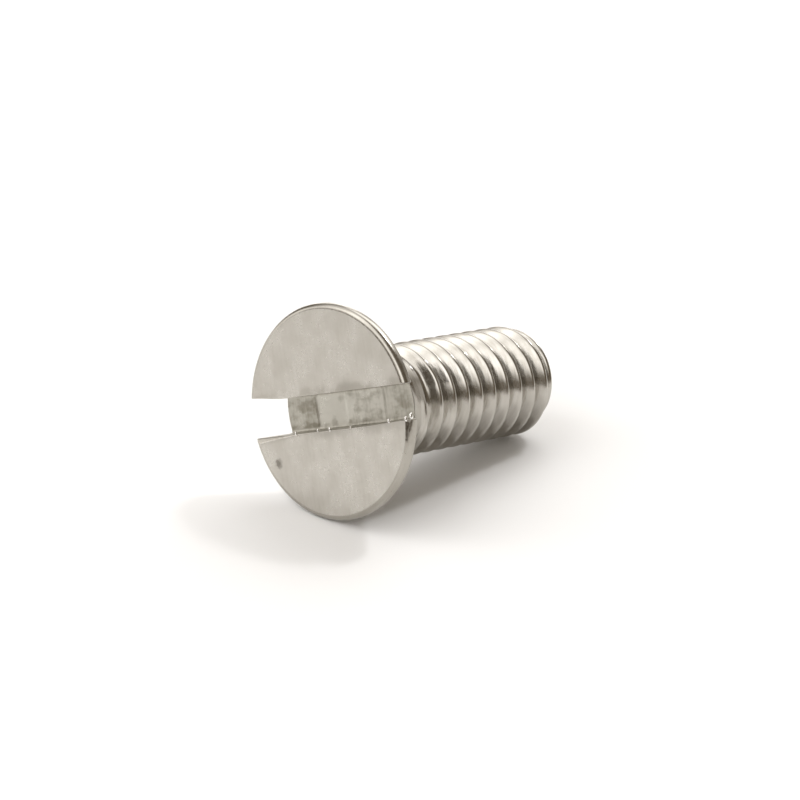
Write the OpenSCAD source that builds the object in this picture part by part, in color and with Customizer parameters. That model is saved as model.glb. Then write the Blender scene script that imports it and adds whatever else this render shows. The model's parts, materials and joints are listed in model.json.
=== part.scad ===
// Slotted countersunk machine screw, M4 x 10, lying on its head rim and the last crest of its thread.
// The screw's own axis runs from the middle of the head's top face to the point.

/* [Thread] */
// Diameter over the crests, a little under the nominal 4 mm
major_d = 3.96; // [3.8:0.02:4.2]
// Distance from one crest to the next
pitch = 0.7; // [0.6:0.05:0.8]
// Angle between the two flanks of a ridge, in degrees
flank_angle = 60; // [55:1:62]
// Direction in which the thread begins, in degrees from the slot
start_angle = 137; // [0:1:359]
// Arc over which the ridge grows to its full height, in degrees
run_in = 80; // [30:5:180]

/* [Head] */
// Diameter of the head
head_d = 7.4; // [7:0.05:8]
// Angle of the countersunk cone, in degrees
cone_angle = 90; // [82:1:95]
// Height of the straight rim between the top face and the cone
rim_h = 0.33; // [0.2:0.01:0.5]
// Radius of the rim's outer edge at the top face
rim_round = 0.12; // [0.05:0.01:0.18]

/* [Slot] */
// Width of the screwdriver slot
slot_w = 1.25; // [0.8:0.05:1.5]
// Depth of the slot below the top face
slot_depth = 1.1; // [0.6:0.05:1.3]

/* [Shank] */
// Length over all, from the top face to the point
length = 10; // [8:0.5:20]
// Diameter of the plain neck under the head
neck_d = 3.6; // [3.4:0.05:3.7]
// Length of neck left plain between the cone's fillet and the thread
neck_l = 0.35; // [0.2:0.05:1]
// Radius of the fillet between the cone and the neck
neck_fillet = 0.9; // [0.3:0.05:1]
// Diameter of the flat end of the point
point_d = 3; // [2.4:0.05:3]
// Angle of the chamfer round the point, in degrees
point_angle = 90; // [60:5:120]

/* [Lying] */
// Turn of the slot away from level as the screw lies, in degrees
lying_roll = -21; // [-60:1:60]

/* [Hidden] */
steel = [0.77, 0.75, 0.72];
round_fn = 96;

// Head and neck
head_r = head_d / 2;
neck_r = neck_d / 2;
cone_half = cone_angle / 2;
cone_end = rim_h + (head_r - neck_r) / tan(cone_half);
fillet_run = neck_fillet * tan(cone_half / 2);
neck_end = cone_end + fillet_run + neck_l;

// Thread form: a flat crest an eighth of the pitch wide, straight flanks and a narrow flat root
major_r = major_d / 2;
height_share = 0.6134;
crest_share = 1 / 8;
ridge_h = height_share * pitch;
root_r = major_r - ridge_h;
crest_half = crest_share * pitch / 2;
flank_run = ridge_h * tan(flank_angle / 2);
turn_steps = 40;
// The ridge rises out of the neck this far before the neck ends
neck_lap = 0.12;
// The head's own core ends this far inside the thread's root
core_lap = 0.05;
thread_z = neck_end - neck_lap;
turns = ceil((length - thread_z) / pitch) + 2;
last_step = turns * turn_steps;

// Point
point_r = point_d / 2;
point_run = (major_r - point_r) / tan(point_angle / 2);
// The chamfer's cone is carried on past the crests by this much
chamfer_over = 0.3;

// Lying: the rim's lower edge and the last whole crest under the shank touch the ground
under_angle = -90 - lying_roll;
under_z = thread_z + pitch * (under_angle - start_angle) / 360 + crest_half;
whole_crests = floor((length - point_run - under_z) / pitch);
contact_z = under_z + whole_crests * pitch;
tilt = atan((head_r - major_r) / (contact_z - rim_h));
face_z = head_r * cos(tilt) + rim_h * sin(tilt);
back_x = rim_round * cos(tilt) - (head_r - rim_round) * sin(tilt) - rim_round;
front_x = length * cos(tilt) + point_r * sin(tilt);
middle_x = (back_x + front_x) / 2;

// Share of the full ridge height reached at one step along the helix, after one turn inside the neck
function ridge_share(step) =
    let (turned = (step - turn_steps) * 360 / turn_steps)
    max(0, min(1, turned / run_in));

// Heights and radii of the crest's two edges and the root's two edges, in a half plane at one step
function helix_section(step) =
    let (z = thread_z + pitch * (step - turn_steps) / turn_steps,
         crest_r = root_r + ridge_h * ridge_share(step))
    [[crest_r, z - crest_half],
     [crest_r, z + crest_half],
     [root_r, z + crest_half + flank_run],
     [root_r, z + pitch - crest_half - flank_run]];

function turned_out(p, angle) = [p[0] * cos(angle), p[0] * sin(angle), p[1]];

// Index of point k of the section at one step; point 4 is point 0 one turn later
function at(step, k) = k < 4 ? 4 * step + k : 4 * (step + turn_steps);

// Profile of head and neck, radius against depth below the top face
module head_profile() {
    slope_x = neck_r + fillet_run * sin(cone_half);
    slope_y = cone_end - fillet_run * cos(cone_half);
    core_r = root_r - core_lap;
    difference() {
        union() {
            polygon([
                [0, 0],
                [head_r - rim_round, 0],
                [head_r, rim_round],
                [head_r, rim_h],
                [slope_x, slope_y],
                [neck_r, cone_end + fillet_run],
                [neck_r, neck_end],
                [core_r, neck_end + (neck_r - core_r) * tan(flank_angle / 2)],
                [0, neck_end + (neck_r - core_r) * tan(flank_angle / 2)]
            ]);
            translate([head_r - rim_round, rim_round]) circle(r = rim_round, $fn = round_fn);
        }
        translate([neck_r + neck_fillet, cone_end + fillet_run]) circle(r = neck_fillet, $fn = round_fn);
    }
}

module head_and_neck() {
    difference() {
        rotate_extrude($fn = round_fn) head_profile();
        translate([-head_d, -slot_w / 2, -slot_depth]) cube([2 * head_d, slot_w, 2 * slot_depth]);
    }
}

// Right-hand ridge and its core as one helical strip, closed by a fan at each end
module thread_ridge() {
    points = [
        for (step = [0 : last_step])
            let (angle = start_angle + (step - turn_steps) * 360 / turn_steps)
            for (p = helix_section(step)) turned_out(p, angle)
    ];
    lower = len(points);
    upper = lower + 1;
    lower_z = helix_section(0)[0][1];
    upper_z = helix_section(last_step)[3][1];
    top_start = last_step - turn_steps;
    lower_rim = concat([for (step = [0 : turn_steps]) at(step, 0)], [for (k = [3 : -1 : 0]) at(0, k)]);
    upper_rim = concat([for (step = [top_start : last_step]) at(step, 3)],
                       [for (k = [2 : -1 : 0]) at(last_step, k)], [at(top_start, 3)]);
    faces = concat(
        [for (k = [0 : 3], step = [0 : (k < 3 ? last_step : top_start) - 1])
            [at(step, k), at(step, k + 1), at(step + 1, k + 1)]],
        [for (k = [0 : 3], step = [0 : (k < 3 ? last_step : top_start) - 1])
            [at(step, k), at(step + 1, k + 1), at(step + 1, k)]],
        [for (i = [0 : len(lower_rim) - 2]) [lower, lower_rim[i], lower_rim[i + 1]]],
        [for (i = [0 : len(upper_rim) - 2]) [upper, upper_rim[i + 1], upper_rim[i]]]
    );
    polyhedron(concat(points, [[0, 0, lower_z], [0, 0, upper_z]]), faces);
}

// Space that the thread may fill: everything up to the chamfered point
module point_envelope() {
    outer_r = major_r + chamfer_over;
    rotate_extrude($fn = round_fn) polygon([
        [0, 0],
        [outer_r, 0],
        [outer_r, length - point_run - chamfer_over / tan(point_angle / 2)],
        [point_r, length],
        [0, length]
    ]);
}

module upright_screw() {
    head_and_neck();
    intersection() {
        thread_ridge();
        point_envelope();
    }
}

module screw() {
    color(steel)
        translate([-middle_x, 0, face_z])
            rotate([0, 90 + tilt, 0])
                rotate([0, 0, 90 + lying_roll])
                    upright_screw();
}

screw();
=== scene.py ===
# Slotted countersunk machine screw in stainless steel, lying on a pale floor.
# Shapes are worked out in millimetres in the screw's own frame: x along the slot, y across it, z from the top
# face towards the point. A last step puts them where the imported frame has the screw, in metres.
import json

import bmesh
import bpy
import numpy as np
from mathutils import Matrix, Vector


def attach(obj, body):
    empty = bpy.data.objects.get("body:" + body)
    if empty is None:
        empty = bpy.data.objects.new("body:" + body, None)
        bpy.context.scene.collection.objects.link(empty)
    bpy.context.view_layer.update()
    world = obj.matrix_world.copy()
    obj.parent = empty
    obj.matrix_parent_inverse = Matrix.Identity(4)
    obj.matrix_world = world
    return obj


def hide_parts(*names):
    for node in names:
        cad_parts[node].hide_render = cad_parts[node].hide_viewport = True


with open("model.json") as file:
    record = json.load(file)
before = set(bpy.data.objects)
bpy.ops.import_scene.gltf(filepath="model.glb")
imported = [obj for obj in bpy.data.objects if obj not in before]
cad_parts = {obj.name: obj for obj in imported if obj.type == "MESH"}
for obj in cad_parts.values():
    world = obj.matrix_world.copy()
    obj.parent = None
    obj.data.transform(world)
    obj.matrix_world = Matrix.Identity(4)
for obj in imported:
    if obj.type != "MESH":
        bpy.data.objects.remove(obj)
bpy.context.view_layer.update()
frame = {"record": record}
mounts = {mount["name"]: mount for mount in frame["record"]["mounts"]}
millimetre = 0.001

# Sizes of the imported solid, except that the rim's round is as wide here as the highlight on it.
# The thread starts the lap before the neck ends, at the start angle, and grows over the run-in, in degrees.
screwSizes = {
    "headRadius": mounts["countersunk_seat"]["dims"]["r_mm"],
    "rimHeight": 0.33,
    "rimRound": 0.2,
    "neckRadius": 1.8,
    "neckFillet": 0.9,
    "neckLength": 0.35,
    "neckLap": 0.12,
    "slotWidth": 1.25,
    "threadRadius": mounts["thread"]["dims"]["r_mm"],
    "pitch": 0.7,
    "ridgeHeight": 0.42938,
    "startAngle": 137.0,
    "runIn": 80.0,
    "length": 10.0,
    "pointRadius": 1.5,
}

# How soft each edge is: the radius of a round, or the width over which two surfaces run into one another.
# The slot's edge grows sharper over the last part of its depth, down to the floor edge's radius.
edgeFinish = {
    "slotEdge": 0.024,
    "floorEdge": 0.012,
    "floorEdgeRise": 0.15,
    "slotCorner": 0.09,
    "coneEdge": 0.03,
    "markEdge": 0.02,
    "crestRound": 0.015,
    "crestSoft": 0.04,
    "rootSoft": 0.09,
    "neckEndSoft": 0.05,
    "neckJoin": 0.03,
    "pointSoft": 0.05,
}

# How the slot was cut: it flares towards one end and narrows towards the other, each over a span along it.
# Its lower edge has a long bevel, given by three of its corners. Its floor steps where the cutter dwelt, and
# each step is a place, a change of depth and a change of tone. Burrs are places on the lower edge and a size;
# nicks are an angle, a height and a size on the thread; their shapes are shares of the size along each
# direction. The notch is a groove beside the rim, and its taper is the share of its width that it loses.
slotCut = {
    "upperHalf": 0.645,
    "lowerHalf": 0.607,
    "flare": 0.13,
    "flareSpan": (1.9, 3.6),
    "narrowing": 0.055,
    "narrowingSpan": (1.5, 3.4),
    "bevelCorners": ((3.5, -0.80, 0.0), (1.4, -0.61, 0.0), (3.5, -0.57, 0.12)),
    "floorSteps": ((-1.63, -0.015, -0.2), (0.14, 0.02, -0.25), (1.52, -0.02, 0.7), (2.04, 0.015, -0.18)),
    "stepHalf": 0.05,
    "burrs": ((1.64, -0.58, 0.0, 0.05), (0.59, -0.56, 0.0, 0.045), (0.03, -0.57, 0.0, 0.06),
              (-0.93, -0.57, 0.0, 0.035), (-2.7, -0.52, 0.0, 0.06), (-3.47, -0.52, 0.0, 0.065),
              (-3.6, -0.45, 0.13, 0.08)),
    "burrShape": (0.7, 1.5, 0.9),
    "nicks": ((145.0, 2.84, 0.05), (144.4, 3.53, 0.06), (141.6, 5.66, 0.04)),
    "nickShape": (0.6, 2.6, 0.8),
    "notchEnds": ((-3.52, -0.62, 0.0), (-3.35, -1.2, 0.0)),
    "notchWidth": 0.085,
    "notchTaper": 0.7,
}

# How finely each surface is divided. Columns along the slot are evenly spaced by the even share and closer
# near the rim by the rest. Close rows are distances below the slot's floor, and the gaps lie between one
# surface and the next. A point row is a share of the way in from the shank's last ring, a share of the
# point's radius and a distance from the flat end. A lump is a small sphere of so many columns and rows.
meshSteps = {
    "along": 144,
    "evenShare": 0.3,
    "face": 24,
    "round": 8,
    "land": 6,
    "cone": 16,
    "floor": 14,
    "closeRows": (0, 0.018, 0.036, 0.06, 0.09, 0.13),
    "skirt": 14,
    "settledRows": 10,
    "skirtGap": 0.06,
    "rowsPerTurn": 24,
    "endGap": 0.03,
    "pointRows": ((0.3, 1, 0.018), (0.75, 0.988, 0.005), (1, 0.97, 0), (1, 13 / 15, 0), (1, 2 / 3, 0),
                  (1, 0.4, 0), (1, 1 / 6, 0), (1, 0, 0)),
    "lump": (17, 11),
}


def screwFrame():
    # The face centre is the foot of the face mount on the axis; the slot runs square to both other directions
    axis = np.array(mounts["thread"]["axis"])
    onSlot = np.array(mounts["driver_slot"]["pos_m"])
    onFace = np.array(mounts["head_face"]["pos_m"])
    centre = onSlot + axis * ((onFace - onSlot) @ axis)
    across = (onFace - centre) / np.linalg.norm(onFace - centre)
    depth = (onSlot - centre) @ axis / millimetre
    return np.cross(across, axis), across, axis, centre, depth


alongSlot, acrossSlot, screwAxis, faceCentre, slotDepth = screwFrame()
# The countersunk cone stands at 45 degrees to the axis, so it is as deep as it is wide
coneEnd = screwSizes["rimHeight"] + screwSizes["headRadius"] - screwSizes["neckRadius"]
filletRun = screwSizes["neckFillet"] * np.tan(np.pi / 8)
neckStart = coneEnd + filletRun
neckEnd = neckStart + screwSizes["neckLength"]
threadStart = neckEnd - screwSizes["neckLap"]
halfSlot = screwSizes["slotWidth"] / 2


def softMax(a, b, radius):
    # The larger of two distances, with a round of that radius where both are near zero
    corner = np.hypot(np.maximum(a + radius, 0), np.maximum(b + radius, 0))
    return np.minimum(np.maximum(a, b), -radius) + corner


def softRamp(value, width):
    # Value where it is well above zero, nothing where it is well below, and a hyperbola between
    return (value + np.sqrt(value**2 + width**2)) / 2


def smoothStep(value, start, end):
    t = np.clip((value - start) / (end - start), 0, 1)
    return t * t * (3 - 2 * t)


def headRadiusAt(z):
    # Quarter round at the top edge, straight land, 45 degree cone, round fillet, then the neck
    s = screwSizes
    underRound = s["rimRound"] ** 2 - (s["rimRound"] - z) ** 2
    edge = s["headRadius"] - s["rimRound"] + np.sqrt(np.clip(underRound, 0, None))
    cone = s["headRadius"] - (z - s["rimHeight"])
    underFillet = s["neckFillet"] ** 2 - (np.minimum(z, neckStart) - neckStart) ** 2
    fillet = s["neckRadius"] + s["neckFillet"] - np.sqrt(np.clip(underFillet, 0, None))
    radius = np.where(z < s["rimRound"], edge, np.where(z < s["rimHeight"], s["headRadius"], cone))
    filletFrom = coneEnd - filletRun * np.sqrt(0.5)
    return np.where(z > filletFrom, fillet, radius)


def threadRadiusAt(angle, z):
    # Distance from the nearest crest of the helix gives a 60 degree ridge with a soft crest and a soft root.
    # It grows out of the neck over the first part of a turn, and a 45 degree cone takes off its end.
    s, soft = screwSizes, edgeFinish
    turn = np.mod(np.degrees(angle) - s["startAngle"], 360) / 360
    place = (z - threadStart) / s["pitch"] - turn
    nearest = np.round(place)
    grown = np.clip((nearest + turn) * 360 / s["runIn"], 0, 1)
    away = np.sqrt(((place - nearest) * s["pitch"]) ** 2 + soft["crestRound"] ** 2)
    root = s["threadRadius"] - s["ridgeHeight"]
    crest = root + s["ridgeHeight"] * grown
    crestHalf = s["pitch"] / 16
    slope = np.sqrt(3.0)
    flank = crest + slope * (crestHalf - away)
    ridge = flank - softRamp(flank - crest, soft["crestSoft"])
    thread = root + softRamp(ridge - root, soft["rootSoft"]) - soft["rootSoft"] / 4
    neck = headRadiusAt(z) - softRamp((z - neckEnd) * slope, soft["neckEndSoft"])
    radius = thread + softRamp(neck - thread, soft["neckJoin"])
    cone = s["pointRadius"] + s["length"] - z
    return radius - softRamp(radius - cone, soft["pointSoft"])


def slotSides(x):
    # The upper side leans out towards one end, and the lower side leans in towards the other
    upper = slotCut["upperHalf"] + slotCut["flare"] * smoothStep(x, *slotCut["flareSpan"])
    lower = slotCut["lowerHalf"] - slotCut["narrowing"] * smoothStep(-x, *slotCut["narrowingSpan"])
    return upper, lower


def slotFloorAt(x):
    # The slot's depth and the low steps that add up to nothing by the far end
    half = slotCut["stepHalf"]
    steps = [step * smoothStep(x, place - half, place + half) for place, step, _ in slotCut["floorSteps"]]
    return slotDepth + sum(steps)


def bevelField(p):
    # A plane through three corners takes off the slot's lower edge; outside is on the side of the face
    corners = np.array(slotCut["bevelCorners"])
    normal = np.cross(corners[1] - corners[0], corners[2] - corners[0])
    normal *= -np.sign(normal[2]) / np.linalg.norm(normal)
    return np.where(p[..., 1] < 0, (p - corners[0]) @ normal, -1)


def notchField(p):
    # Distance to a short line beside the rim, less a width that narrows towards the line's second end
    start, end = np.array(slotCut["notchEnds"])
    line = end - start
    share = np.clip((p - start) @ line / (line @ line), 0, 1)
    width = slotCut["notchWidth"] * (1 - slotCut["notchTaper"] * share)
    return np.linalg.norm(p - start - share[..., None] * line, axis=-1) - width


def headField(p):
    # Signed distance from the head's true surface: outside is positive. Soft maxima join face, rim, cone,
    # bevel and notch, and one more takes the slot out, with a finer edge where its floor meets the cone.
    s, soft = screwSizes, edgeFinish
    x, y, z = p[..., 0], p[..., 1], p[..., 2]
    r = np.hypot(x, y)
    body = softMax(-z, r - s["headRadius"], s["rimRound"])
    body = softMax(body, (r - s["headRadius"] + z - s["rimHeight"]) * np.sqrt(0.5), soft["coneEdge"])
    body = softMax(body, bevelField(p), soft["markEdge"])
    body = softMax(body, -notchField(p), soft["markEdge"])
    upper, lower = slotSides(x)
    slot = softMax(np.where(y > 0, y - upper, -lower - y), z - slotFloorAt(x), soft["slotCorner"])
    aboveFloor = smoothStep(slotDepth - z, 0, soft["floorEdgeRise"])
    return softMax(body, -slot, soft["floorEdge"] + (soft["slotEdge"] - soft["floorEdge"]) * aboveFloor)


def leanToSlot(p):
    # Points near the slot are drawn sideways to its true sides, less and less across the face and down the
    # cone, and none is moved beyond these two distances
    lastAcross, lastDown = 1.8, 1.9
    upper, lower = slotSides(p[..., 0])
    y = np.abs(p[..., 1])
    near = np.where(y < halfSlot, y / halfSlot, 1 - smoothStep(y, halfSlot, lastAcross))
    near = near * (1 - smoothStep(p[..., 2], slotDepth, lastDown))
    moved = p.copy()
    moved[..., 1] += near * np.where(p[..., 1] > 0, upper - halfSlot, halfSlot - lower)
    return moved


def settle(points, field, rounds=8):
    # Each point walks down the field's slope until it lies on the surface, which rounds the edges
    p = points.copy()
    step, leastSlope = 1e-4, 1e-6
    for _ in range(rounds):
        slope = np.stack([(field(p + side) - field(p - side)) / (2 * step) for side in step * np.eye(3)], -1)
        p -= (field(p) / np.maximum((slope**2).sum(-1), leastSlope))[..., None] * slope
    return p


def onCircle(radius, angle, z):
    return np.stack(np.broadcast_arrays(radius * np.cos(angle), radius * np.sin(angle), z), -1)


def gridFaces(rows, columns, first, flip):
    index = first + np.arange(rows * columns).reshape(rows, columns)
    quads = np.stack([index[:-1, :-1], index[:-1, 1:], index[1:, 1:], index[1:, :-1]], -1).reshape(-1, 4)
    return quads[:, ::-1] if flip else quads


def headPatches():
    # Face lobes run from the slot's edge to the rim, outer lobes from the rim down to the slot's depth, and
    # the channel is the slot's section carried along the slot. Their shared edges have the same points.
    s, steps = screwSizes, meshSteps
    k = np.arange(steps["along"] + 1) / steps["along"]
    spread = steps["evenShare"] * k + (1 - steps["evenShare"]) * (1 - np.cos(np.pi * k)) / 2
    roundRows = s["rimRound"] * (1 - np.cos(np.linspace(0, np.pi / 2, steps["round"])))
    landRows = np.linspace(s["rimRound"], s["rimHeight"], steps["land"])[1:]
    coneShares = np.sin(np.linspace(0, np.pi / 2, steps["cone"]))
    coneRows = s["rimHeight"] + (slotDepth - s["rimHeight"]) * coneShares
    depths = np.concatenate([roundRows, landRows, coneRows[1:]])
    radii = headRadiusAt(depths)
    opening = np.arcsin(halfSlot / radii)
    lobeAngles = opening[:, None] + (np.pi - 2 * opening[:, None]) * spread
    patches = []
    rows = (1 - np.cos(np.linspace(0, np.pi, steps["face"] + 1))) / 2
    chord = np.stack([np.sqrt(radii[0] ** 2 - halfSlot**2) * (1 - 2 * spread), np.full_like(k, halfSlot),
                      np.zeros_like(k)], -1)
    for half in (0, np.pi):
        turnBack = np.array([np.cos(half), np.cos(half), 1])
        arc = onCircle(radii[0], lobeAngles[0] + half, 0.0)
        patches.append(chord * turnBack + rows[:, None, None] * (arc - chord * turnBack))
        patches.append(onCircle(radii[:, None], lobeAngles + half, depths[:, None]))
    across = halfSlot * np.cos(np.linspace(0, np.pi, steps["floor"] + 1))
    sectionY = np.concatenate([np.full_like(depths, halfSlot), across[1:-1], np.full_like(depths, -halfSlot)])
    sectionZ = np.concatenate([depths, np.full(len(across) - 2, slotDepth), depths[::-1]])
    reach = np.sqrt(headRadiusAt(sectionZ) ** 2 - sectionY**2)
    carried = np.ones_like(k)
    channel = np.stack([reach[:, None] * (1 - 2 * spread), sectionY[:, None] * carried,
                        sectionZ[:, None] * carried], -1)
    floorAngles = np.pi - np.arcsin(across / radii[-1])
    halfRing = np.concatenate([lobeAngles[-1], floorAngles[1:-1]])
    ring = np.concatenate([halfRing, halfRing + np.pi, halfRing[:1] + 2 * np.pi])
    return patches, channel, ring


def skirtPatch(ring):
    # Under the slot the columns drift from the slot's uneven angles to even ones
    firstLoose, low = slotDepth + 0.18, neckStart - 0.15
    driftStart, driftEnd = slotDepth + 0.1, neckStart - 0.2
    close = slotDepth + np.array(meshSteps["closeRows"])
    z = np.concatenate([close, np.linspace(firstLoose, low, meshSteps["skirt"])])
    even = ring[0] + np.linspace(0, 2 * np.pi, len(ring))
    share = smoothStep(z, driftStart, driftEnd)[:, None]
    angle = ring * (1 - share) + even * share
    return onCircle(headRadiusAt(z)[:, None], angle, z[:, None]), even, low


def shankPatch(angles, low, high):
    # Rows follow the helix, so each crest keeps its own row of points, and they crowd towards crest and root.
    # Both ends are level rings, and points that come closer to one than its snap are moved onto it.
    crowding, lowSnap, highSnap = 0.5, 0.01, 0.008
    s = screwSizes
    n = meshSteps["rowsPerTurn"]
    turns = int(np.ceil((high - low) / s["pitch"])) + 3
    t = np.arange(n * turns + 1) / n
    t = t - crowding * np.sin(4 * np.pi * t) / (4 * np.pi)
    first = threadStart + s["pitch"] * (np.degrees(angles[0]) - s["startAngle"]) / 360
    first -= s["pitch"] * (np.floor((first - low) / s["pitch"]) + 2)
    z = first + s["pitch"] * (t[:, None] + (angles - angles[0]) / (2 * np.pi))
    z = np.where(z < low + lowSnap, low, np.where(z > high - highSnap, high, z))
    return onCircle(threadRadiusAt(angles, z), angles, z)


def endPatch(rim):
    # The chamfer's last rows, a small round and the flat end, drawn in from the shank's last ring
    angle = np.arctan2(rim[:, 1], rim[:, 0])
    start = np.hypot(rim[:, 0], rim[:, 1])
    share, radius, under = np.array(meshSteps["pointRows"]).T[..., None]
    radius = start * (1 - share) + screwSizes["pointRadius"] * radius * share
    return np.concatenate([rim[None], onCircle(radius, angle, screwSizes["length"] - under)])


def halvingFaces(fine, coarse):
    # Two fine steps meet one coarse step with three triangles
    a, b, c = fine[:-2:2], fine[1:-1:2], fine[2::2]
    d, e = coarse[:-1], coarse[1:]
    return np.concatenate([np.stack([a, b, d], -1), np.stack([b, c, e], -1), np.stack([b, e, d], -1)])


def buildScrew():
    # The skirt's first rows settle on the rounded edges beside the slot's floor, and the rest lie on cone and
    # fillet. The shank has half as many columns, so a band of triangles joins it to the skirt.
    patches, channel, ring = headPatches()
    skirt, even, low = skirtPatch(ring)
    shank = shankPatch(even[::2], low + meshSteps["skirtGap"], screwSizes["length"] - meshSteps["endGap"])
    end = endPatch(shank[-1])
    grids = [(settle(leanToSlot(p), headField), False) for p in patches]
    grids += [(settle(leanToSlot(channel), headField), True)]
    leaned = leanToSlot(skirt)
    stretch = headRadiusAt(leaned[..., 2]) / np.hypot(leaned[..., 0], leaned[..., 1])
    onCone = np.dstack([leaned[..., :2] * stretch[..., None], leaned[..., 2]])
    settled = meshSteps["settledRows"]
    skirt = np.concatenate([settle(leaned[:settled], headField), onCone[settled:]])
    grids += [(skirt, False), (shank, False), (end, False)]
    points, quads, starts = [], [], []
    count = 0
    for grid, flip in grids:
        starts.append(count)
        quads.append(gridFaces(grid.shape[0], grid.shape[1], count, flip))
        points.append(grid.reshape(-1, 3))
        count += len(points[-1])
    skirtStart = starts[-3] + (skirt.shape[0] - 1) * skirt.shape[1]
    fine = skirtStart + np.arange(skirt.shape[1])
    coarse = starts[-2] + np.arange(shank.shape[1])
    triangles = halvingFaces(fine, coarse)
    return np.concatenate(points), np.concatenate(quads), triangles


# How far each finish passes or stops short of its surface's edge, so that it changes on the rounded edge. The
# wall's share grows from none to one between its two distances from the slot's side.
finishEdges = {
    "faceHeight": 0.012,
    "faceRim": 0.03,
    "slotSide": 0.004,
    "slotTop": 0.02,
    "slotFloor": 0.01,
    "slotMouth": 0.03,
    "threadLead": 0.25,
    "notchSide": 0.02,
    "wallSpan": (0.13, 0.04),
}


def markSurfaces(mesh):
    # Each point gets its share of face, slot, thread, notch and slot wall, which the steel's finish reads
    places = np.empty(len(mesh.vertices) * 3)
    mesh.vertices.foreach_get("co", places)
    local = (places.reshape(-1, 3) - faceCentre) @ np.stack([alongSlot, acrossSlot, screwAxis]).T / millimetre
    x, y, z = local.T
    radius = np.hypot(x, y)
    faceRadius = screwSizes["headRadius"] - screwSizes["rimRound"]
    upper, lower = slotSides(x)
    fromSide = np.minimum(upper - y, lower + y)
    edges = finishEdges
    inSlot = (fromSide > -edges["slotSide"]) & (z > edges["slotTop"])
    inSlot &= z < slotFloorAt(x) + edges["slotFloor"]
    shares = {
        "onFace": (z < edges["faceHeight"]) & (radius < faceRadius + edges["faceRim"]),
        "inSlot": inSlot & (radius < headRadiusAt(z) - edges["slotMouth"]),
        "onThread": z > neckEnd - edges["threadLead"],
        "inNotch": notchField(local) < edges["notchSide"],
        "onWall": inSlot * smoothStep(fromSide, *edges["wallSpan"]),
    }
    for name, share in shares.items():
        mark = mesh.attributes.new(name, "FLOAT", "POINT")
        mark.data.foreach_set("value", share.astype(np.float32))


def makeMesh(name, points, faces):
    # Points in the screw's own millimetres go to their place in the frame. Doubles and slivers are merged,
    # and points that no face uses are taken out.
    doubleReach, sliverReach = 1e-4 * millimetre, 1e-5 * millimetre
    turned = np.stack([alongSlot, acrossSlot, screwAxis])
    mesh = bpy.data.meshes.new(name)
    mesh.from_pydata(faceCentre + millimetre * points @ turned, [], faces)
    work = bmesh.new()
    work.from_mesh(mesh)
    bmesh.ops.remove_doubles(work, verts=work.verts, dist=doubleReach)
    bmesh.ops.dissolve_degenerate(work, dist=sliverReach, edges=work.edges)
    loose = [v for v in work.verts if not v.link_faces]
    bmesh.ops.delete(work, geom=loose, context="VERTS")
    openEdges = sum(1 for e in work.edges if len(e.link_faces) != 2)
    volume = work.calc_volume(signed=True) / millimetre**3
    work.to_mesh(mesh)
    work.free()
    mesh.shade_smooth()
    markSurfaces(mesh)
    print(name + ":", len(mesh.vertices), "points,", len(mesh.polygons), "faces,", openEdges, "open edges,",
          round(volume, 4), "cubic mm")
    piece = bpy.data.objects.new(name, mesh)
    bpy.context.scene.collection.objects.link(piece)
    return piece


def makeScrew():
    points, quads, triangles = buildScrew()
    return makeMesh("slottedScrew", points, quads.tolist() + triangles.tolist())


def makeBurrs():
    # Each lump is a sphere's grid scaled along its own three directions and sunk into the steel: burrs are
    # longest across the slot, and nicks, which stand on the thread's crest, are longest round the screw
    columns, rows = meshSteps["lump"]
    around, rise = np.meshgrid(np.linspace(0, 2 * np.pi, columns), np.linspace(0, np.pi, rows))
    ball = np.stack([np.sin(rise) * np.cos(around), np.sin(rise) * np.sin(around), np.cos(rise)], -1)
    burrs, nicks = np.array(slotCut["burrs"]), np.array(slotCut["nicks"])
    angle, height = np.radians(nicks[:, 0]), nicks[:, 1]
    centres = np.concatenate([burrs[:, :3], onCircle(threadRadiusAt(angle, height), angle, height)])
    upright = np.tile(np.diag(slotCut["burrShape"]), (len(burrs), 1, 1))
    outward = onCircle(1.0, angle, 0.0)
    along = onCircle(1.0, angle + np.pi / 2, screwSizes["pitch"] / (2 * np.pi * screwSizes["threadRadius"]))
    axis = np.broadcast_to([0.0, 0.0, 1.0], outward.shape)
    turned = np.stack([outward, along, axis], 1) * np.array(slotCut["nickShape"])[:, None]
    sizes = np.concatenate([burrs[:, 3], nicks[:, 2]])
    shapes = np.concatenate([upright, turned]) * sizes[:, None, None]
    points = centres[:, None, None] + np.einsum("ijk,nkl->nijl", ball, shapes)
    faces = [gridFaces(rows, columns, rows * columns * index, True) for index in range(len(sizes))]
    return makeMesh("slotBurrs", points.reshape(-1, 3), np.concatenate(faces).tolist())


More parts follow.
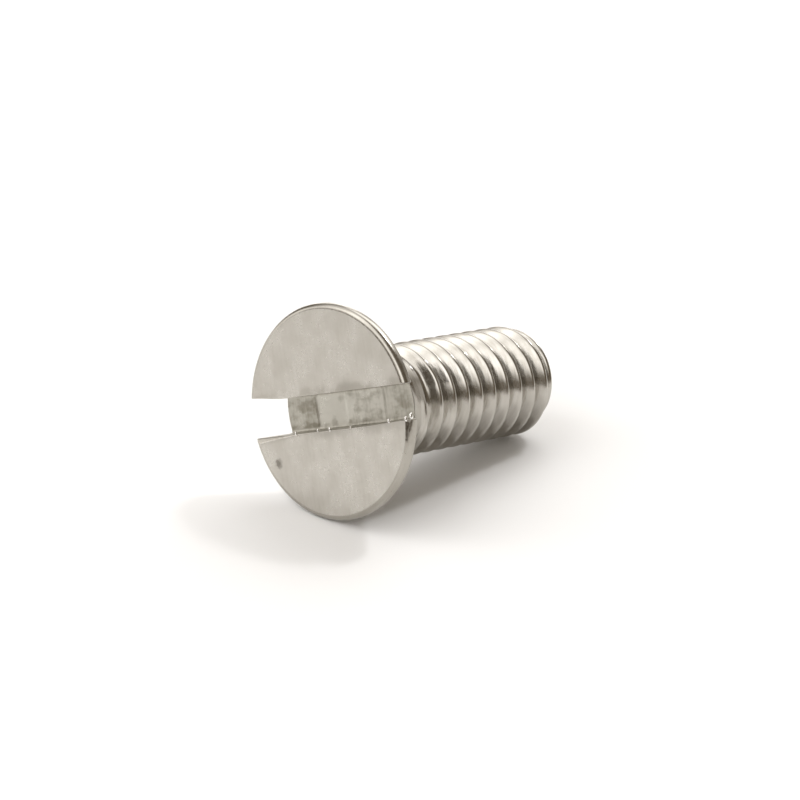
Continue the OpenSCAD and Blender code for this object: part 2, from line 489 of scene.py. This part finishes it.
# The steel's colours, how rough each part is where it is least and most worn, and the marks on it. The stain
# colour also paints the shade in the notch's groove. A stain is a place, a reach and a strength, and its core
# is a share of the reach. Places and reaches are in millimetres, and the grain's height is in metres.
steelFinish = {
    "bright": (0.58, 0.557, 0.514, 1),
    # The cloudy colour also paints the shade along the slot's upper edge
    "cloudyAndShade": (0.488, 0.464, 0.417, 1),
    "side": (0.435, 0.413, 0.372, 1),
    "sideGrey": (0.37, 0.348, 0.307, 1),
    "slotBright": (0.535, 0.518, 0.466, 1),
    "slotDark": (0.25, 0.232, 0.188, 1),
    "slotWall": (0.56, 0.538, 0.482, 1),
    "threadBright": (0.512, 0.489, 0.449, 1),
    "threadGrey": (0.4, 0.378, 0.337, 1),
    "stainAndShade": (0.19, 0.172, 0.148, 1),
    "burr": (0.93, 0.92, 0.9, 1),
    "burrRough": 0.22,
    "sideRough": (0.17, 0.28),
    "faceRough": (0.25, 0.36),
    "slotRough": (0.26, 0.42),
    "wallRough": (0.5, 0.65),
    "threadRough": (0.14, 0.22),
    "stains": (((2.66, -1.53, 0.0), 0.24, 0.85), ((-1.0, 0.75, 0.0), 0.55, 0.14)),
    "stainCore": 0.2,
    "slotDirt": 0.26,
    "notchShade": 0.8,
    "toneHalf": 0.04,
    "speckleRelief": 0.05,
    "grainHeight": 0.0000025,
}

# The patterns on the steel: how close their cells lie along x, y and z, a scale and a level of detail
steelPatterns = {
    "clouds": ((1, 0.8, 1), 1.1, 5.0),
    "streaks": ((9, 0.9, 9), 1.0, 3.0),
    "speckle": ((1, 1, 1), 8.0, 2.0),
    "cutterMarks": ((7, 1.2, 2), 1.3, 3.0),
    "patches": ((1.6, 2.2, 1), 1.4, 5.0),
    "drawn": ((0.7, 0.7, 11), 1.6, 3.0),
    "skin": ((1, 1, 1), 20.0, 2.0),
}

# How a pattern or a place becomes a share: the values where its ramp starts and ends, and the share at each
steelRamps = {
    "faceClouds": (0.35, 0.7, 0.0, 0.6),
    "faceStreaks": (0.4, 0.75, 0.0, 0.25),
    "faceSpeckle": (0.5, 0.8, 0.0, 0.14),
    "smudgeAndShadeStart": (0.3, 0.6, 0.0, 1.0),
    "smudgeAndShadeEnd": (0.6, 1.0, 1.6, 0.0),
    "smudgeAndShadeClouds": (0.42, 0.6, 0.0, 1.0),
    "stainRagged": (0.3, 0.7, -0.15, 0.15),
    "dirtRagged": (0.3, 0.7, 0.14, -0.14),
    "dirtAcross": (0.6, 1.0, 1.0, 0.0),
    "dirtAlong": (0.4, 1.4, 1.0, 0.15),
    "slotPatches": (0.38, 0.68, 0.15, 0.75),
    "slotCutter": (0.45, 0.75, 0.0, 0.25),
    "lowCornerShadeRagged": (0.3, 0.7, 0.1, -0.1),
    "lowCornerShade": (-0.5, -0.3, 0.25, 0.0),
    "wallMarks": (0.15, 0.4, 0.0, 0.5),
    "sideClouds": (0.4, 0.7, 0.0, 0.5),
    "sideDrawn": (0.4, 0.75, 0.0, 0.6),
    "wear": (0.3, 0.7, 0.0, 1.0),
    "tornSkin": (0.3, 0.7, 0.0, 0.4),
}


class NodeKit:
    # Short calls for the shader nodes that the steel is built from
    def __init__(self, material):
        self.nodes, self.links = material.node_tree.nodes, material.node_tree.links

    def new(self, kind, inputs, **settings):
        node = self.nodes.new("ShaderNode" + kind)
        for name, value in settings.items():
            setattr(node, name, value)
        for name, value in inputs.items():
            socket = next(s for s in node.inputs if s.enabled and name in (s.name, s.identifier))
            if isinstance(value, bpy.types.NodeSocket):
                self.links.new(value, socket)
            else:
                socket.default_value = value
        return next(s for s in node.outputs if s.enabled)

    def noise(self, place, name):
        # A named pattern's noise: its cells are longer along the axes where they lie less close
        closeness, scale, detail = steelPatterns[name]
        scaled = self.new("Mapping", {"Vector": place, "Scale": closeness})
        return self.new("TexNoise", {"Vector": scaled, "Scale": scale, "Detail": detail})

    def ramp(self, value, start, end, low, high):
        span = {"Value": value, "From Min": start, "From Max": end, "To Min": low, "To Max": high}
        return self.new("MapRange", span, interpolation_type="SMOOTHSTEP")

    def share(self, value, name):
        # What a named ramp makes of a value
        return self.ramp(value, *steelRamps[name])

    def math(self, kind, a, b):
        return self.new("Math", {"Value": a, "Value_001": b}, operation=kind)

    def number(self, share, a, b):
        return self.new("Mix", {"Factor": share, "A": a, "B": b})

    def colour(self, share, a, b):
        return self.new("Mix", {"Factor": share, "A": a, "B": b}, data_type="RGBA")

    def add(self, a, b):
        return self.math("ADD", a, b)

    def times(self, a, b):
        return self.math("MULTIPLY", a, b)


def makeSteel():
    # Every pattern reads the place on the screw in its own millimetres: x along the slot, y across it and z
    # along the shank
    f = steelFinish
    steel = bpy.data.materials.new("stainlessSteel")
    steel.use_nodes = True
    kit = NodeKit(steel)
    shader = kit.nodes["Principled BSDF"]
    turned = Matrix([alongSlot, acrossSlot, screwAxis])
    inMetres = kit.new("TexCoord", {}).node.outputs["Object"]
    place = kit.new("Mapping", {
        "Vector": inMetres,
        "Rotation": turned.to_euler(),
        "Scale": (1 / millimetre,) * 3,
        "Location": -(turned @ Vector(faceCentre)) / millimetre,
    })
    marks = {}
    for mark in ("onFace", "inSlot", "onThread", "inNotch", "onWall"):
        marks[mark] = kit.new("Attribute", {}, attribute_name=mark).node.outputs["Fac"]

    # Face: clouds, brushed streaks across the slot, fine speckle, a grey smudge along the slot's upper edge
    # that also paints the shade there, and stains
    clouds = kit.noise(place, "clouds")
    streaks = kit.noise(place, "streaks")
    speckle = kit.noise(place, "speckle")
    split = kit.new("SeparateXYZ", {"Vector": place}).node
    x, y = split.outputs["X"], split.outputs["Y"]
    dirt = kit.add(kit.share(clouds, "faceClouds"), kit.share(streaks, "faceStreaks"))
    dirt = kit.add(dirt, kit.share(speckle, "faceSpeckle"))
    # Painted shade along the slot's upper edge: the face turns towards the cloudy colour in patches, partly a
    # real smudge
    smudgeAndShade = kit.times(kit.share(y, "smudgeAndShadeEnd"), kit.share(clouds, "smudgeAndShadeClouds"))
    smudgeAndShade = kit.times(smudgeAndShade, kit.share(y, "smudgeAndShadeStart"))
    face = kit.colour(kit.add(dirt, smudgeAndShade), f["bright"], f["cloudyAndShade"])
    for spot, reach, strength in f["stains"]:
        away = kit.new("VectorMath", {"Vector": place, "Vector_001": spot}, operation="DISTANCE")
        away = kit.add(away, kit.times(kit.share(speckle, "stainRagged"), reach))
        face = kit.colour(kit.ramp(away, f["stainCore"] * reach, reach, strength, 0.0), face, f["stainAndShade"])

    # Dirt along both of the slot's edges, less of it towards the end where the slot flares
    beside = kit.new("Math", {"Value": y}, operation="ABSOLUTE")
    beside = kit.add(beside, kit.share(clouds, "dirtRagged"))
    beside = kit.times(kit.share(beside, "dirtAcross"), kit.share(x, "dirtAlong"))
    face = kit.colour(kit.times(beside, f["slotDirt"]), face, f["stainAndShade"])

    # Slot floor: duller, with dark patches, faint cutter marks across it, a tone for each level and painted
    # shade in the lower corner
    cutterMarks = kit.noise(place, "cutterMarks")
    patches = kit.noise(place, "patches")
    dark = kit.add(kit.share(patches, "slotPatches"), kit.share(cutterMarks, "slotCutter"))
    for level, _, tone in slotCut["floorSteps"]:
        dark = kit.add(dark, kit.ramp(x, level - f["toneHalf"], level + f["toneHalf"], 0.0, tone))
    # Painted shade: the floor darkens towards its lower corner, with a ragged edge
    lowCorner = kit.add(y, kit.share(patches, "lowCornerShadeRagged"))
    dark = kit.add(dark, kit.share(lowCorner, "lowCornerShade"))

    # Slot walls: brighter and rougher than the floor, with faint dark marks
    wallMarks = kit.share(kit.times(patches, cutterMarks), "wallMarks")
    wall = kit.colour(wallMarks, f["slotWall"], f["slotDark"])
    slot = kit.colour(marks["onWall"], kit.colour(dark, f["slotBright"], f["slotDark"]), wall)

    # Rim, cone, neck and thread: fine lines that run round the screw, with grey patches
    drawn = kit.noise(place, "drawn")
    grey = kit.add(kit.share(clouds, "sideClouds"), kit.share(drawn, "sideDrawn"))
    side = kit.colour(grey, f["side"], f["sideGrey"])
    thread = kit.colour(grey, f["threadBright"], f["threadGrey"])

    # Each surface takes its own colour, roughness and relief from its mark
    head = kit.colour(marks["inSlot"], kit.colour(marks["onFace"], side, face), slot)
    # Painted shade: the notch's groove is darkened with the stain colour
    head = kit.colour(kit.times(marks["inNotch"], f["notchShade"]), head, f["stainAndShade"])
    kit.links.new(kit.colour(marks["onThread"], head, thread), shader.inputs["Base Color"])
    worn = kit.share(kit.times(kit.add(speckle, clouds), 0.5), "wear")
    rough = kit.number(worn, *f["sideRough"])
    for mark, key in (("onFace", "faceRough"), ("inSlot", "slotRough"), ("onWall", "wallRough"),
                      ("onThread", "threadRough")):
        rough = kit.number(marks[mark], rough, kit.number(worn, *f[key]))
    kit.links.new(rough, shader.inputs["Roughness"])
    relief = kit.number(marks["onFace"], kit.number(marks["inSlot"], drawn, cutterMarks), streaks)
    relief = kit.add(relief, kit.times(speckle, f["speckleRelief"]))
    bump = kit.new("Bump", {"Height": relief, "Distance": f["grainHeight"]})
    kit.links.new(bump, shader.inputs["Normal"])
    shader.inputs["Metallic"].default_value = 1
    print(steel.name + ":", len(kit.nodes), "nodes")
    return steel


def makeBurrSteel():
    # Freshly torn metal: brighter than the rest, with a fine uneven skin
    steel = bpy.data.materials.new("tornSteel")
    steel.use_nodes = True
    kit = NodeKit(steel)
    shader = kit.nodes["Principled BSDF"]
    inMetres = kit.new("TexCoord", {}).node.outputs["Object"]
    place = kit.new("Mapping", {"Vector": inMetres, "Scale": (1 / millimetre,) * 3})
    skin = kit.share(kit.noise(place, "skin"), "tornSkin")
    torn = kit.colour(skin, steelFinish["burr"], steelFinish["bright"])
    kit.links.new(torn, shader.inputs["Base Color"])
    shader.inputs["Metallic"].default_value = 1
    shader.inputs["Roughness"].default_value = steelFinish["burrRough"]
    print(steel.name + ":", len(kit.nodes), "nodes")
    return steel


# The floor, two lamps that throw the clear shadow, and the room's own broad soft lights.
# Elevation and azimuth are in degrees, azimuth from the screw's length; width is how far a light fades out.
studio = {
    "floorHalf": 3.0,
    "floorColour": (0.92, 0.92, 0.92, 1),
    "floorRough": 0.9,
    "lampDistance": 0.5,
    "lamps": {
        "lampHigh": {"elevation": 55, "azimuth": -11, "size": 0.055, "power": 0.39},
        "lampBroad": {"elevation": 53, "azimuth": -13, "size": 0.16, "power": 0.13},
    },
    "roomColour": (0.19, 0.157, 0.118, 1),
    "roomLights": {
        "skylight": {"elevation": 52, "azimuth": 22, "width": 32, "strength": 2.42},
        "ceilingBack": {"elevation": 52, "azimuth": 112, "width": 32, "strength": 1.27},
        "ceilingLeft": {"elevation": 52, "azimuth": 158, "width": 32, "strength": 1.36},
        "wallRight": {"elevation": 34, "azimuth": 0, "width": 24, "strength": 0.71},
        "wallBack": {"elevation": 34, "azimuth": 60, "width": 24, "strength": 0.3},
        "wallLeft": {"elevation": 34, "azimuth": 180, "width": 24, "strength": 0.96},
        "window": {"elevation": 34, "azimuth": 210, "width": 24, "strength": 1.82},
        "tableRight": {"elevation": 4, "azimuth": 45, "width": 24, "strength": 2.69},
        "tableBack": {"elevation": 4, "azimuth": 112, "width": 24, "strength": 1.52},
        "doorway": {"elevation": 28, "azimuth": 136, "width": 22, "strength": 1.6},
        "cornerRight": {"elevation": 12, "azimuth": -34, "width": 22, "strength": 0.4},
    },
}


def direction(elevation, azimuth):
    e, a = np.radians([elevation, azimuth])
    return Vector((np.cos(e) * np.cos(a), np.cos(e) * np.sin(a), np.sin(e)))


def makeFloor():
    half = studio["floorHalf"]
    corners = half * np.array([[-1, -1, 0], [1, -1, 0], [1, 1, 0], [-1, 1, 0]])
    mesh = bpy.data.meshes.new("floor")
    mesh.from_pydata(corners, [], [[0, 1, 2, 3]])
    floor = bpy.data.objects.new("floor", mesh)
    bpy.context.scene.collection.objects.link(floor)
    paint = bpy.data.materials.new("paleFloor")
    paint.use_nodes = True
    shader = paint.node_tree.nodes["Principled BSDF"]
    shader.inputs["Base Color"].default_value = studio["floorColour"]
    shader.inputs["Roughness"].default_value = studio["floorRough"]
    mesh.materials.append(paint)


def makeLamps():
    for name, lamp in studio["lamps"].items():
        towards = direction(lamp["elevation"], lamp["azimuth"])
        light = bpy.data.lights.new(name, "AREA")
        light.shape = "DISK"
        light.size = lamp["size"]
        light.energy = lamp["power"]
        holder = bpy.data.objects.new(name, light)
        holder.location = towards * studio["lampDistance"]
        holder.rotation_euler = (-towards).to_track_quat("-Z", "Y").to_euler()
        bpy.context.scene.collection.objects.link(holder)


def makeRoom():
    # A dim warm room, and each broad light fades smoothly with the angle from its own direction
    world = bpy.data.worlds.new("room")
    bpy.context.scene.world = world
    world.use_nodes = True
    nodes, links = world.node_tree.nodes, world.node_tree.links
    nodes.clear()
    out = nodes.new("ShaderNodeOutputWorld")
    where = nodes.new("ShaderNodeTexCoord")
    glow = None
    for light in studio["roomLights"].values():
        facing = nodes.new("ShaderNodeVectorMath")
        facing.operation = "DOT_PRODUCT"
        facing.inputs[1].default_value = direction(light["elevation"], light["azimuth"])
        links.new(where.outputs["Generated"], facing.inputs[0])
        fade = nodes.new("ShaderNodeMapRange")
        fade.interpolation_type = "SMOOTHSTEP"
        fade.inputs["From Min"].default_value = np.cos(np.radians(light["width"]))
        fade.inputs["To Max"].default_value = light["strength"]
        links.new(facing.outputs["Value"], fade.inputs["Value"])
        if glow:
            both = nodes.new("ShaderNodeMath")
            links.new(glow, both.inputs[0])
            links.new(fade.outputs["Result"], both.inputs[1])
            glow = both.outputs["Value"]
        else:
            glow = fade.outputs["Result"]
    room = nodes.new("ShaderNodeBackground")
    room.inputs["Color"].default_value = studio["roomColour"]
    lights = nodes.new("ShaderNodeBackground")
    links.new(glow, lights.inputs["Strength"])
    lights.inputs["Color"].default_value = (1, 1, 1, 1)
    together = nodes.new("ShaderNodeAddShader")
    links.new(room.outputs[0], together.inputs[0])
    links.new(lights.outputs[0], together.inputs[1])
    links.new(together.outputs[0], out.inputs["Surface"])
    print("studio:", len(studio["lamps"]), "lamps,", len(studio["roomLights"]), "room lights")


# The camera stands where the photograph was taken from, in metres
cameraView = {
    "position": (-0.0838514, -0.0761368, 0.0521485),
    "forward": (0.674101, 0.620610, -0.400539),
    "lens": 160.456,
    "sensor": 36.0,
    "clip": (0.005, 20),
}


def makeCamera():
    data = bpy.data.cameras.new("camera")
    data.lens = cameraView["lens"]
    data.sensor_width = cameraView["sensor"]
    data.clip_start, data.clip_end = cameraView["clip"]
    camera = bpy.data.objects.new("camera", data)
    camera.location = cameraView["position"]
    camera.rotation_euler = Vector(cameraView["forward"]).to_track_quat("-Z", "Y").to_euler()
    bpy.context.scene.collection.objects.link(camera)
    bpy.context.scene.camera = camera


makeCamera()
screw = makeScrew()
burrs = makeBurrs()
for piece, finish in ((screw, makeSteel()), (burrs, makeBurrSteel())):
    piece.data.materials.append(finish)
    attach(piece, "root")
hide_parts("screw")
makeFloor()
makeLamps()
makeRoom()
bpy.context.scene.view_settings.view_transform = "Standard"
print("scene ready")
